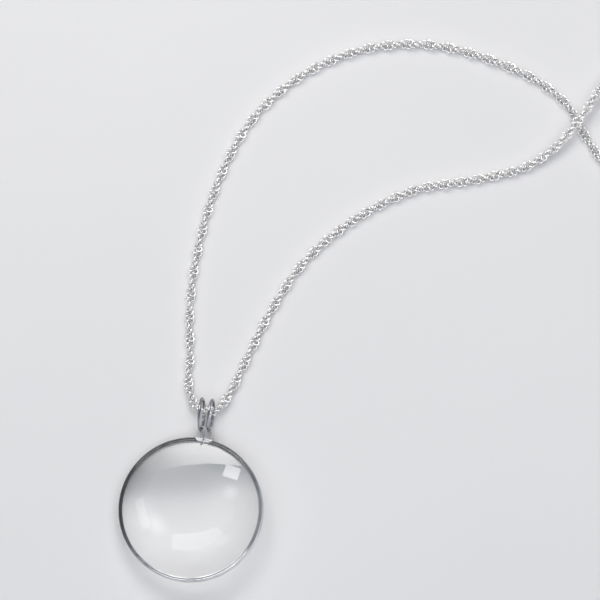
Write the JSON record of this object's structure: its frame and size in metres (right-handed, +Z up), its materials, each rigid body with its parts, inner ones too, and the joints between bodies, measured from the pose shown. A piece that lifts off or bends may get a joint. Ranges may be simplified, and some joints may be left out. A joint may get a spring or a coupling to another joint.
{
  "type": "magnifier pendant",
  "caption": "Round magnifying lens in a slim metal rim, hung by two jump rings on a long twisted rope chain, lying on a table.",
  "frame": {"origin": "on the table, at the middle of the box round the whole necklace", "axes": "+Z up from the table, +Y from the lens towards the chain, +X from the pendant towards the clasp"},
  "size_m": [0.2816, 0.2043, 0.0121],
  "materials": {
    "rim_metal": "polished",
    "ring_metal": "polished",
    "chain_metal": "bright polished",
    "lens_glass": "clear polished"
  },
  "bodies": {
    "root": {"rim": "rim_metal", "lens": "lens_glass", "jump_ring_left": "ring_metal", "jump_ring_right": "ring_metal", "chain": "chain_metal", "clasp": "chain_metal"}
  },
  "joints": []
}
